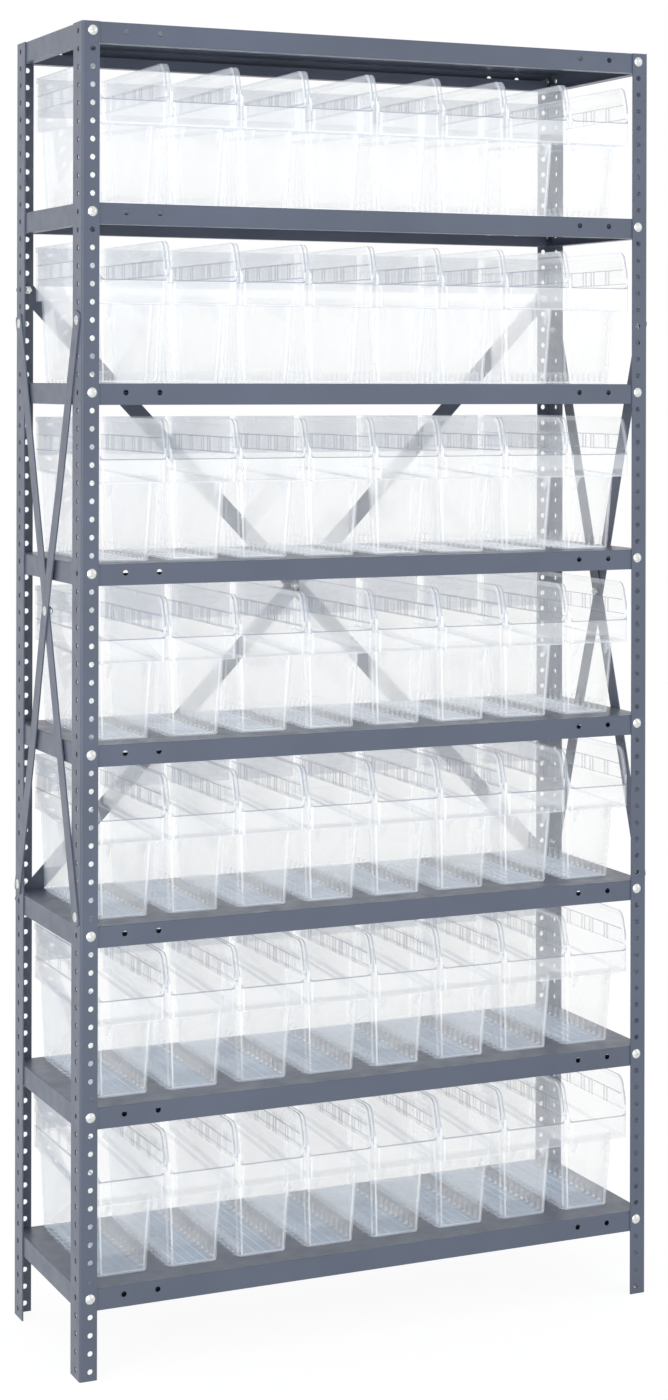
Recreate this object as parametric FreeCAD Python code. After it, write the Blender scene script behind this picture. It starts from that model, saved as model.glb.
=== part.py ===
import FreeCAD, Part
import math
import os
from FreeCAD import Vector

# Bolted steel shelving unit with clear plastic shelf bins. All sizes are in millimetres.
# +X runs to the right along the shelves, +Y to the back and +Z up. The origin is on the
# floor, in the middle of the unit's footprint.

# Footprint over the outer faces of the posts
unit_width = 914.4
unit_depth = 304.8

# Posts: punched steel angles with one column of holes in each flange
hole_pitch = 25.4
post_hole_count = 75
hole_radius = 3.97
post_gauge = 2.0
post_face_width = 25.9
post_side_width = 39.6
post_bend_radius = 3.2
face_hole_inset = 15.9
side_hole_inset = 18.3

# Shelves: folded steel pans, bolted inside the posts
shelf_gauge = 0.95
shelf_flange_height = 30.2
shelf_bend_radius = 1.6
shelf_lip_depth = 16.0
shelf_return_height = 16.3
shelf_corner_relief = 3.0
shelf_lip_gap = 1.5
spare_hole_first = 66.5
spare_hole_spacing = 50.8
spare_hole_count = 2
lowest_deck_hole = 5
bin_headroom = 12.0

# Sway braces: flat straps, bolted on the outside of the posts in crossing pairs
strap_width = 25.4
strap_gauge = 2.0
strap_end_margin = 12.7
strap_corner_radius = 6.0
strap_bow_run = 150.0
side_brace_top_hole = 58
side_brace_bottom_hole = 25
rear_brace_top_hole = 60
rear_brace_bottom_hole = 24

# Fasteners: slotted truss-head bolts with hexagon nuts
bolt_shank_radius = 3.1
bolt_head_radius = 7.2
bolt_head_height = 2.9
bolt_slot_width = 1.5
bolt_slot_depth = 1.1
bolt_tip_length = 2.2
nut_across_flats = 11.1
nut_height = 5.6
nut_thread_clearance = 0.05

# Bins: clear moulded boxes with a narrow tub, a wide upper part and a low front
bin_length = 295.3
bin_width = 104.8
bin_height = 203.2
bin_wall = 2.0
bin_rim_height = 7.6
bin_rim_proud = 0.8
bin_upper_corner_radius = 6.0
bin_ledge_height = 120.6
bin_pocket_drop = 8.8
bin_lip_rise = 26.7
bin_lip_wall = 2.4
bin_side_set_back = 15.2
bin_side_corner_radius = 16.0
tub_front_inset = 38.0
tub_front_lean = 7.0
tub_rear_inset = 5.5
tub_rear_lean = 2.0
tub_base_width = 75.2
tub_side_lean = 6.0
tub_corner_radius = 7.0
tub_base_radius = 4.0
label_panel_width = 77.0
label_panel_height = 27.0
label_panel_depth = 0.8
grip_rib_width = 3.0
grip_rib_height = 22.0
grip_rib_reach = 20.0
grip_rib_spacing = 54.0
bin_rear_clearance = 1.5
bin_end_clearance = 1.0
bin_least_gap = 2.0

# Places that follow from the sizes above
half_width = unit_width / 2
half_depth = unit_depth / 2
post_height = post_hole_count * hole_pitch
deck_drop = hole_pitch / 2
shelf_half_width = half_width - post_gauge
shelf_half_depth = half_depth - post_gauge
bin_opening = unit_width - 2 * post_face_width
shelf_step = math.ceil((bin_height + bin_headroom + shelf_flange_height) / hole_pitch)
deck_holes = list(range(post_hole_count, lowest_deck_hole - 1, -shelf_step))
bins_per_shelf = int((bin_opening - 2 * bin_end_clearance + bin_least_gap) // (bin_width + bin_least_gap))
bin_pitch = (bin_opening - 2 * bin_end_clearance - bin_width) / (bins_per_shelf - 1)
bin_back = half_depth - post_gauge - bin_rear_clearance
bin_front = bin_back - bin_length


def hole_height(number):
    """Height of a post hole, counted from 0 at the foot."""
    return hole_pitch * (number + 0.5)


def box(low, high):
    """Box between two opposite corners, each (x, y, z)."""
    size = [b - a for a, b in zip(low, high)]
    return Part.makeBox(*size, Vector(*low))


def edges_along(shape, direction, near=None):
    """Straight edges of a shape that run along a direction, and pass a test of their middle."""
    found = []
    for edge in shape.Edges:
        if not isinstance(edge.Curve, Part.Line):
            continue
        run = edge.Vertexes[-1].Point - edge.Vertexes[0].Point
        if run.Length < 1e-6 or abs(run.normalize().dot(direction)) < 0.999:
            continue
        if near is None or near(edge.CenterOfMass):
            found.append(edge)
    return found


def holes_through(points, axis, radius, depth):
    """Cylinders of the given depth, centred on points, to cut holes with."""
    return [Part.makeCylinder(radius, depth, p - axis * (depth / 2), axis) for p in points]


def mirrored(shape, axis):
    return shape.mirror(Vector(0, 0, 0), axis)


X_AXIS = Vector(1, 0, 0)
Y_AXIS = Vector(0, 1, 0)
Z_AXIS = Vector(0, 0, 1)


def make_front_left_post():
    """Punched angle with its outer corner at the unit's front left."""
    left, front = -half_width, -half_depth
    outline = [
        (left, front),
        (left + post_face_width, front),
        (left + post_face_width, front + post_gauge),
        (left + post_gauge, front + post_gauge),
        (left + post_gauge, front + post_side_width),
        (left, front + post_side_width),
    ]
    corners = [Vector(x, y, 0) for x, y in outline]
    post = Part.Face(Part.makePolygon(corners + corners[:1])).extrude(Z_AXIS * post_height)
    outer_bend = edges_along(post, Z_AXIS, lambda c: c.x < left + 1e-3 and c.y < front + 1e-3)
    post = post.makeFillet(post_bend_radius, outer_bend)
    inner_x, inner_y = left + post_gauge, front + post_gauge
    inner_bend = edges_along(
        post, Z_AXIS, lambda c: abs(c.x - inner_x) < 1e-3 and abs(c.y - inner_y) < 1e-3
    )
    post = post.makeFillet(post_bend_radius - post_gauge, inner_bend)
    heights = [hole_height(n) for n in range(post_hole_count)]
    face_holes = [Vector(left + face_hole_inset, front + post_gauge / 2, z) for z in heights]
    side_holes = [Vector(left + post_gauge / 2, front + side_hole_inset, z) for z in heights]
    cutters = holes_through(face_holes, Y_AXIS, hole_radius, 3 * post_gauge)
    cutters += holes_through(side_holes, X_AXIS, hole_radius, 3 * post_gauge)
    return post.cut(cutters)


def make_posts():
    """The four posts, each a mirror image of its neighbours."""
    front_left = make_front_left_post()
    front_right = mirrored(front_left, X_AXIS)
    return [front_left, front_right, mirrored(front_left, Y_AXIS), mirrored(front_right, Y_AXIS)]


def shelf_hole_cutters():
    """Cutters for the bolt holes at the posts and the spare holes, with the deck's top at z = 0."""
    bolt_x = half_width - face_hole_inset
    spare_x = [half_width - spare_hole_first - n * spare_hole_spacing for n in range(spare_hole_count)]
    flange_y = shelf_half_depth - shelf_gauge / 2
    flange_x = shelf_half_width - shelf_gauge / 2
    side_y = half_depth - side_hole_inset
    across, along = [], []
    for side in (-1, 1):
        for end in (-1, 1):
            across += [Vector(end * x, side * flange_y, -deck_drop) for x in [bolt_x] + spare_x]
            along.append(Vector(end * flange_x, side * side_y, -deck_drop))
    cutters = holes_through(across, Y_AXIS, hole_radius, 3 * shelf_gauge)
    return cutters + holes_through(along, X_AXIS, hole_radius, 3 * shelf_gauge)


def shelf_lips():
    """Lips folded in along the flanges' lower edges. The front and rear ones turn up again."""
    low, thick = -shelf_flange_height, shelf_gauge
    long_end = shelf_half_width - shelf_lip_depth - shelf_lip_gap
    short_end = shelf_half_depth - shelf_lip_depth - shelf_lip_gap
    inner_y = shelf_half_depth - shelf_lip_depth
    inner_x = shelf_half_width - shelf_lip_depth
    front_lip = box(
        (-long_end, -shelf_half_depth + thick / 2, low), (long_end, -inner_y, low + thick)
    )
    front_return = box(
        (-long_end, -inner_y - thick, low), (long_end, -inner_y, low + shelf_return_height)
    )
    left_lip = box(
        (-shelf_half_width + thick / 2, -short_end, low), (-inner_x, short_end, low + thick)
    )
    front = front_lip.fuse(front_return)
    return [front, mirrored(front, Y_AXIS), left_lip, mirrored(left_lip, X_AXIS)]


def make_shelf():
    """One folded pan, with its deck's top at z = 0."""
    w, d, h = shelf_half_width, shelf_half_depth, shelf_flange_height
    pan = box((-w, -d, -h), (w, d, 0))
    top_edges = [e for e in pan.Edges if abs(e.CenterOfMass.z) < 1e-3]
    pan = pan.makeFillet(shelf_bend_radius, top_edges)
    inside = box(
        (-w + shelf_gauge, -d + shelf_gauge, -h), (w - shelf_gauge, d - shelf_gauge, -shelf_gauge)
    )
    relief = []
    for end in (-1, 1):
        for side in (-1, 1):
            corner = Vector(end * w, side * d, 0)
            half = Vector(shelf_corner_relief, shelf_corner_relief, 0)
            low = corner - half
            high = corner + half
            relief.append(box((low.x, low.y, -h), (high.x, high.y, -shelf_bend_radius - shelf_gauge)))
    pan = pan.cut([inside] + relief)
    pan = pan.fuse(shelf_lips()).removeSplitter()
    return pan.cut(shelf_hole_cutters())


def make_shelves():
    shelf = make_shelf()
    return [shelf.translated(Z_AXIS * (number * hole_pitch)) for number in deck_holes]


def make_strap(span, rise, bowed):
    """A strap from (0, 0) to (span, -rise) in the XZ plane, with its inner face at y = 0.

    Both straps of a pair lie flat on the posts. The bowed one steps out over the other where
    they cross. The straps' outer faces point to -Y.
    """
    reach = math.hypot(span, rise) / 2
    end = reach + strap_end_margin
    line = [(-end, 0.0), (end, 0.0)]
    if bowed:
        angle = 2 * math.atan2(span, rise)
        flat = strap_width / 2 * (1 + abs(math.cos(angle))) / math.sin(angle)
        out = flat + strap_bow_run
        line = [(-end, 0), (-out, 0), (-flat, -strap_gauge), (flat, -strap_gauge), (out, 0), (end, 0)]
    inner = [Vector(u, v, -strap_width / 2) for u, v in line]
    outer = [p - Y_AXIS * strap_gauge for p in reversed(inner)]
    section = Part.Face(Part.makePolygon(inner + outer + inner[:1]))
    strap = section.extrude(Z_AXIS * strap_width)
    ends = edges_along(strap, Y_AXIS, lambda c: abs(c.x) > end - 1e-3)
    strap = strap.makeFillet(strap_corner_radius, ends)
    places = [Vector(u, 0, 0) for u in (-reach, 0, reach)]
    strap = strap.cut(holes_through(places, Y_AXIS, hole_radius, 6 * strap_gauge))
    strap.rotate(Vector(0, 0, 0), Y_AXIS, math.degrees(math.atan2(rise, span)))
    return strap.translated(Vector(span / 2, 0, -rise / 2))


def crossing_pair(span, rise):
    """Two straps in the XZ plane that cross in the middle of a span."""
    flat = make_strap(span, rise, bowed=False)
    bowed = make_strap(span, rise, bowed=True)
    bowed = mirrored(bowed, X_AXIS).translated(X_AXIS * span)
    return [flat, bowed]


def make_braces():
    """The pairs on the left, the right and the back."""
    side_span = unit_depth - 2 * side_hole_inset
    side_rise = (side_brace_top_hole - side_brace_bottom_hole) * hole_pitch
    side_top = hole_height(side_brace_top_hole)
    left = []
    for strap in crossing_pair(side_span, side_rise):
        strap.rotate(Vector(0, 0, 0), Z_AXIS, -90)
        left.append(strap.translated(Vector(-half_width, half_depth - side_hole_inset, side_top)))
    right = [mirrored(strap, X_AXIS) for strap in left]
    rear_span = unit_width - 2 * face_hole_inset
    rear_rise = (rear_brace_top_hole - rear_brace_bottom_hole) * hole_pitch
    rear_top = hole_height(rear_brace_top_hole)
    rear = []
    for strap in crossing_pair(rear_span, rear_rise):
        strap = mirrored(strap, Y_AXIS)
        rear.append(strap.translated(Vector(-half_width + face_hole_inset, half_depth, rear_top)))
    return left + right + rear


def make_bolt(grip):
    """A bolt along +Z with its head below z = 0, and a nut at the far side of the grip."""
    r, h = bolt_head_radius, bolt_head_height
    crown = Part.Arc(Vector(-r, 0, 0), Vector(0, 0, -h), Vector(r, 0, 0)).toShape()
    cap = Part.Face(Part.Wire([crown, Part.makeLine(Vector(r, 0, 0), Vector(-r, 0, 0))]))
    half_cap = cap.common(box((0, -1, -h - 1), (r + 1, 1, 1)))
    head = half_cap.revolve(Vector(0, 0, 0), Z_AXIS, 360)
    length = grip + nut_height + bolt_tip_length
    shank = Part.makeCylinder(bolt_shank_radius, length)
    bolt = head.fuse(shank)
    slot = box((-r, -bolt_slot_width / 2, -h - 1), (r, bolt_slot_width / 2, -h + bolt_slot_depth))
    bolt = bolt.cut(slot)
    corner = nut_across_flats / math.sqrt(3)
    ring = [
        Vector(corner * math.cos(math.radians(60 * n)), corner * math.sin(math.radians(60 * n)), grip)
        for n in range(7)
    ]
    nut = Part.Face(Part.makePolygon(ring)).extrude(Z_AXIS * nut_height)
    bore = Part.makeCylinder(bolt_shank_radius + nut_thread_clearance, nut_height, Vector(0, 0, grip))
    return [bolt, nut.cut(bore)]


def placed_bolt(point, inwards, grip):
    """A bolt and its nut with the head's seat at a point, pointing inwards."""
    turn = FreeCAD.Rotation(Z_AXIS, inwards)
    place = FreeCAD.Placement(point, turn)
    return [piece.transformGeometry(place.toMatrix()) for piece in make_bolt(grip)]


def make_fasteners():
    """Bolts and nuts where shelves and straps meet the posts, and where straps cross."""
    shelf_numbers = {number - 1 for number in deck_holes}
    rear_numbers = {rear_brace_top_hole, rear_brace_bottom_hole}
    side_numbers = {side_brace_top_hole, side_brace_bottom_hole}
    face_x = half_width - face_hole_inset
    side_y = half_depth - side_hole_inset
    pieces = []
    for end in (-1, 1):
        for number in sorted(shelf_numbers):
            point = Vector(end * face_x, -half_depth, hole_height(number))
            pieces += placed_bolt(point, Y_AXIS, post_gauge + shelf_gauge)
        for number in sorted(shelf_numbers | rear_numbers):
            strap = strap_gauge if number in rear_numbers else 0
            shelf = shelf_gauge if number in shelf_numbers else 0
            point = Vector(end * face_x, half_depth + strap, hole_height(number))
            pieces += placed_bolt(point, -Y_AXIS, strap + post_gauge + shelf)
        for number in sorted(side_numbers):
            shelf = shelf_gauge if number in shelf_numbers else 0
            for side in (-1, 1):
                point = Vector(end * (half_width + strap_gauge), side * side_y, hole_height(number))
                pieces += placed_bolt(point, X_AXIS * -end, strap_gauge + post_gauge + shelf)
        side_middle = (hole_height(side_brace_top_hole) + hole_height(side_brace_bottom_hole)) / 2
        point = Vector(end * (half_width + 2 * strap_gauge), 0, side_middle)
        pieces += placed_bolt(point, X_AXIS * -end, 2 * strap_gauge)
    # The rear crossing's bolt has its head inside, because a nut there would meet the bins
    rear_middle = (hole_height(rear_brace_top_hole) + hole_height(rear_brace_bottom_hole)) / 2
    pieces += placed_bolt(Vector(0, half_depth, rear_middle), Y_AXIS, 2 * strap_gauge)
    return pieces


def tapered_block(low, high, base_z, top_z):
    """A block whose rectangle (x half-width, front y, back y) changes from low to high."""
    half, front, back = low
    top_half, top_front, top_back = high
    wedge = Part.makeWedge(
        -half, base_z, -back, -top_back, -top_half, half, top_z, -front, -top_front, top_half
    )
    wedge.rotate(Vector(0, 0, 0), X_AXIS, 90)
    return wedge


def make_tub(inset):
    """The narrow lower part as a solid, drawn in by an inset. Its front is at y = 0 of the bin."""
    base, top = inset, bin_ledge_height + inset
    height = bin_ledge_height

    def rectangle(z):
        share = z / height
        half = (tub_base_width + 2 * tub_side_lean * share) / 2 - inset
        front = tub_front_inset - tub_front_lean * share + inset
        back = bin_length - tub_rear_inset + tub_rear_lean * share - inset
        return half, front, back

    tub = tapered_block(rectangle(base), rectangle(top), base, top)
    upright = [e for e in tub.Edges if abs(e.Vertexes[0].Z - e.Vertexes[-1].Z) > height / 2]
    tub = tub.makeFillet(tub_corner_radius - inset, upright)
    foot = [e for e in tub.Edges if e.BoundBox.ZMax < base + 1e-2]
    return tub.makeFillet(tub_base_radius - inset / 2, foot)


def upright_slab(half, front, back, radius, low, high):
    """A block with rounded upright corners."""
    slab = box((-half, front, low), (half, back, high))
    return slab.makeFillet(radius, edges_along(slab, Z_AXIS))


def upper_side_profile(set_back):
    """The upper part seen from the side, as a solid as wide as the bin and more."""
    lip_z = bin_ledge_height + bin_lip_rise
    rim_z = bin_height - bin_rim_height
    pocket_z = bin_ledge_height - bin_pocket_drop
    pocket_back = tub_front_inset
    slope = set_back / (rim_z - lip_z)
    outline = [
        (0, pocket_z),
        (0, lip_z),
        (slope * (bin_height - lip_z), bin_height),
        (bin_length, bin_height),
        (bin_length, bin_ledge_height),
        (pocket_back, bin_ledge_height),
        (pocket_back, pocket_z),
    ]
    corners = [Vector(-bin_width, y, z) for y, z in outline]
    solid = Part.Face(Part.makePolygon(corners + corners[:1])).extrude(X_AXIS * 2 * bin_width)
    top_front = edges_along(
        solid, X_AXIS, lambda c: c.z > bin_height - 1e-3 and c.y < bin_length / 2
    )
    return solid.makeFillet(bin_side_corner_radius, top_front)


def make_upper_shell():
    """The wide upper part with its rim, ledge and front lip, open at the top."""
    half = bin_width / 2
    wall_half = half - bin_rim_proud
    back = bin_length - bin_rim_proud
    radius = bin_upper_corner_radius
    pocket_z = bin_ledge_height - bin_pocket_drop
    rim_z = bin_height - bin_rim_height
    walls = upright_slab(wall_half, 0, back, radius, pocket_z, bin_height)
    rim = upright_slab(half, 0, bin_length, radius, rim_z, bin_height)
    outer = walls.fuse(rim).common(upper_side_profile(bin_side_set_back))
    inner_radius = radius - bin_wall
    inner_half = wall_half - bin_wall
    inside = upright_slab(
        inner_half, bin_lip_wall, back - bin_wall, inner_radius,
        bin_ledge_height + bin_wall, bin_height + 1,
    )
    pocket = upright_slab(
        inner_half, bin_lip_wall, tub_front_inset + tub_front_lean, inner_radius,
        pocket_z + bin_wall, bin_ledge_height + 2 * bin_wall,
    )
    return outer, [inside, pocket]


def make_grip_rib(x):
    """An upright rib under the front lip, where fingers pull."""
    top = bin_ledge_height - bin_pocket_drop + bin_wall / 2
    front_share = top / bin_ledge_height
    wall_y = tub_front_inset - tub_front_lean * front_share + bin_wall / 2
    low_y = wall_y + tub_front_lean * grip_rib_height / bin_ledge_height
    corners = [
        Vector(x - grip_rib_width / 2, wall_y - grip_rib_reach, top),
        Vector(x - grip_rib_width / 2, low_y, top - grip_rib_height),
        Vector(x - grip_rib_width / 2, low_y, top),
    ]
    return Part.Face(Part.makePolygon(corners + corners[:1])).extrude(X_AXIS * grip_rib_width)


def make_bin():
    """One bin, with its front at y = 0, its middle at x = 0 and its base at z = 0."""
    upper, upper_cavities = make_upper_shell()
    outer = upper.fuse(make_tub(0))
    ribs = [make_grip_rib(side * grip_rib_spacing / 2) for side in (-1, 1)]
    shell = outer.fuse(ribs).cut([make_tub(bin_wall)] + upper_cavities)
    lip_middle = bin_ledge_height + (bin_lip_rise - bin_pocket_drop) / 2
    panel = box(
        (-label_panel_width / 2, -1, lip_middle - label_panel_height / 2),
        (label_panel_width / 2, label_panel_depth, lip_middle + label_panel_height / 2),
    )
    return shell.cut(panel).removeSplitter()


def write(node, solids):
    """Writes one node, a single solid or a group of separate ones."""
    shape = solids[0] if len(solids) == 1 else Part.makeCompound(solids)
    shape.exportStep(os.path.join("parts", node + ".step"))


def main():
    os.makedirs("parts", exist_ok=True)
    write("posts", make_posts())
    write("shelves", make_shelves())
    write("cross_braces", make_braces())
    write("bolts_and_nuts", make_fasteners())
    clear_bin = make_bin()
    for row, number in enumerate(deck_holes[1:], start=1):
        for slot in range(bins_per_shelf):
            x = (slot - (bins_per_shelf - 1) / 2) * bin_pitch
            place = Vector(x, bin_front, number * hole_pitch)
            write(f"bin_row{row}_slot{slot + 1}", [clear_bin.translated(place)])


main()
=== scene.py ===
"""Dresses the bolted steel shelving unit and its clear shelf bins for a studio picture."""
import itertools
import logging
import math
from collections.abc import Callable, Iterable
from dataclasses import dataclass
from enum import Enum
from functools import cached_property

import bmesh
import bpy
from mathutils import Matrix, Vector


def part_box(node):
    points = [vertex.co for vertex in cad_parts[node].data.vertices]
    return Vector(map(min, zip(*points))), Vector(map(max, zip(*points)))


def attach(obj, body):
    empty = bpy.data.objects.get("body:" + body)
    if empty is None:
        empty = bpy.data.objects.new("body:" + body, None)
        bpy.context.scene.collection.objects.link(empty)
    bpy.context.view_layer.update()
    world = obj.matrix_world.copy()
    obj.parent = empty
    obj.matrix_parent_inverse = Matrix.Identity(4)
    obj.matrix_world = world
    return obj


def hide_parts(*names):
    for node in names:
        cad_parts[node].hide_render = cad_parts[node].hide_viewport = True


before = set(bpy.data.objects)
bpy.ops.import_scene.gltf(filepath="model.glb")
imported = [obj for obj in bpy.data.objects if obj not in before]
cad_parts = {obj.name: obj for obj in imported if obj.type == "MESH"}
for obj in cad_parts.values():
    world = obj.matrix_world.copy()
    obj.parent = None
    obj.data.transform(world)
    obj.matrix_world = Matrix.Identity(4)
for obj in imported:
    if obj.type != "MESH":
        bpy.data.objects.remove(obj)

LOG = logging.getLogger("shelving_unit")
MM = 0.001
INCH = 0.0254
TOUCH = 0.01 * MM
NEAR = 1.0 * MM
SHARP = math.radians(50.0)
GOLDEN_ANGLE = math.radians(137.5)
WHITE = (1.0, 1.0, 1.0, 1.0)
Socket = bpy.types.NodeSocket
Test = Callable[[Vector, Vector], bool]


class Axis(Enum):
    """A direction that a fastener points in, from its head to its tip."""

    RIGHT = (1.0, 0.0, 0.0)
    LEFT = (-1.0, 0.0, 0.0)
    BACK = (0.0, 1.0, 0.0)
    FRONT = (0.0, -1.0, 0.0)

    @property
    def vector(self) -> Vector:
        """The direction as a vector."""
        return Vector(self.value)


class Element(Enum):
    """What edit mode selects."""

    CORNER = "VERT"
    EDGE = "EDGE"
    FACE = "FACE"


class Joining(Enum):
    """How a second solid changes the first."""

    ADD = "UNION"
    CUT = "DIFFERENCE"


class Workbench:
    """Edit-mode steps on one mesh, as they are done by hand."""

    def __init__(self, name: str) -> None:
        """Takes the active object, which has just been added.

        Args:
            name: The piece's name.
        """
        self.piece = bpy.context.view_layer.objects.active
        self.piece.name = name
        self.piece.data.name = name

    @staticmethod
    def clear() -> None:
        """Leaves edit mode and deselects everything."""
        if bpy.context.view_layer.objects.active and bpy.context.mode != "OBJECT":
            bpy.ops.object.mode_set(mode="OBJECT")
        bpy.ops.object.select_all(action="DESELECT")

    @classmethod
    def block(cls, name: str, low: Vector, high: Vector) -> "Workbench":
        """Adds a box between two corners.

        Args:
            name: The piece's name.
            low: Its lowest corner.
            high: Its highest corner.

        Returns:
            The bench that holds it, in object mode.
        """
        cls.clear()
        bpy.ops.mesh.primitive_cube_add(size=1.0, location=(low + high) / 2)
        bpy.ops.transform.resize(value=high - low)
        bpy.ops.object.transform_apply(location=True, rotation=True, scale=True)
        return cls(name)

    @classmethod
    def disc(cls, name: str, radius: float, z: float, sides: int) -> "Workbench":
        """Adds a filled disc at a height, ready to be drawn out along Z.

        Args:
            name: The piece's name.
            radius: The disc's radius.
            z: Its height.
            sides: How many corners it has.

        Returns:
            The bench that holds it, in object mode.
        """
        cls.clear()
        bpy.ops.mesh.primitive_circle_add(
            vertices=sides, radius=radius, fill_type="NGON", location=(0, 0, z)
        )
        bpy.ops.object.transform_apply(location=True, rotation=True, scale=True)
        return cls(name)

    def edit(self, element: Element = Element.FACE) -> None:
        """Goes into edit mode with nothing selected.

        Args:
            element: What will be selected.
        """
        if bpy.context.mode != "EDIT_MESH":
            bpy.context.view_layer.objects.active = self.piece
            self.piece.select_set(True)
            bpy.ops.object.mode_set(mode="EDIT")
        bpy.ops.mesh.select_mode(type=element.value)
        bpy.ops.mesh.select_all(action="DESELECT")

    def everything(self) -> None:
        """Selects all faces in edit mode."""
        self.edit()
        bpy.ops.mesh.select_all(action="SELECT")

    def faces(self, test: Test) -> None:
        """Selects faces by their middle and normal.

        Args:
            test: Takes a face's middle and normal, and says if it is wanted.
        """
        self.edit()
        mesh = bmesh.from_edit_mesh(self.piece.data)
        for face in mesh.faces:
            if test(face.calc_center_median(), face.normal):
                face.select_set(True)
        bmesh.update_edit_mesh(self.piece.data)

    def edges(self, test: Test) -> None:
        """Selects edges by their two ends.

        Args:
            test: Takes an edge's two ends, and says if it is wanted.
        """
        self.edit(Element.EDGE)
        mesh = bmesh.from_edit_mesh(self.piece.data)
        for edge in mesh.edges:
            if test(edge.verts[0].co, edge.verts[1].co):
                edge.select_set(True)
        bmesh.update_edit_mesh(self.piece.data)

    def draw_out(self, shift: Vector, scale: Vector | None = None, centre: Vector | None = None) -> None:
        """Extrudes what is selected, moves it and resizes it.

        Args:
            shift: How far the new faces move.
            scale: How much they grow along each axis.
            centre: The point that they grow from.
        """
        bpy.ops.mesh.extrude_region()
        bpy.ops.transform.translate(value=shift)
        if scale is not None:
            bpy.ops.transform.resize(value=scale, center_override=centre or Vector())

    def bevel(self, width: float, segments: int) -> None:
        """Rounds the selected edges.

        Args:
            width: The bevel's width.
            segments: How many steps it has.
        """
        bpy.ops.mesh.bevel(offset=width, offset_type="OFFSET", segments=segments, affect="EDGES")

    def slice(self, point: Vector, normal: Vector, keep_both: bool = True) -> None:
        """Cuts the whole mesh along a plane.

        Args:
            point: A point on the plane.
            normal: Its normal. What lies on that side goes if keep_both is False.
            keep_both: Whether both sides stay.
        """
        bpy.ops.mesh.select_all(action="SELECT")
        bpy.ops.mesh.bisect(plane_co=point, plane_no=normal, clear_outer=not keep_both)

    def assign(self, slot: int) -> None:
        """Gives the selected faces one of the piece's materials.

        Args:
            slot: The material's place among the slots.
        """
        self.piece.active_material_index = slot
        bpy.ops.object.material_slot_assign()

    def take(self, materials: Iterable[bpy.types.Material]) -> None:
        """Gives the piece its material slots, in order."""
        for material in materials:
            self.piece.data.materials.append(material)

    def modifier(self, kind: str, **settings: object) -> None:
        """Adds a modifier and applies it.

        Args:
            kind: The modifier's type.
            **settings: Its settings.
        """
        if bpy.context.mode != "OBJECT":
            bpy.ops.object.mode_set(mode="OBJECT")
        bpy.context.view_layer.objects.active = self.piece
        made = self.piece.modifiers.new(kind.lower(), kind)
        for name, value in settings.items():
            setattr(made, name, value)
        bpy.ops.object.modifier_apply(modifier=made.name)

    def combine(self, other: "Workbench", joining: Joining) -> None:
        """Adds another solid to this one or cuts it away, and removes the other.

        Args:
            other: The bench that holds the other solid.
            joining: Whether it is added or cut away.
        """
        self.modifier("BOOLEAN", operation=joining.value, solver="EXACT", object=other.piece)
        bpy.data.objects.remove(other.piece)

    def outwards(self) -> None:
        """Turns all faces outwards and leaves edit mode."""
        self.everything()
        bpy.ops.mesh.normals_make_consistent(inside=False)
        self.clear()

    def finish(self, smooth_angle: float) -> bpy.types.Object:
        """Merges doubles, turns the faces outwards and smooths the shading.

        Args:
            smooth_angle: Faces that meet at less than this angle, in degrees, are shaded as one.

        Returns:
            The finished piece.
        """
        self.everything()
        bpy.ops.mesh.remove_doubles(threshold=0.1 * TOUCH)
        self.outwards()
        self.piece.select_set(True)
        bpy.context.view_layer.objects.active = self.piece
        bpy.ops.object.shade_smooth_by_angle(angle=math.radians(smooth_angle))
        return self.piece


def copy_at(pattern: bpy.types.Object, name: str, place: Matrix) -> bpy.types.Object:
    """Copies a piece with a mesh of its own, and sets its place in that mesh.

    Args:
        pattern: The piece to copy.
        name: The copy's name.
        place: Where the copy goes.

    Returns:
        The copy, whose object sits at the origin.
    """
    made = pattern.copy()
    made.data = pattern.data.copy()
    made.name = made.data.name = name
    made.data.transform(place)
    bpy.context.scene.collection.objects.link(made)
    return made


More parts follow.
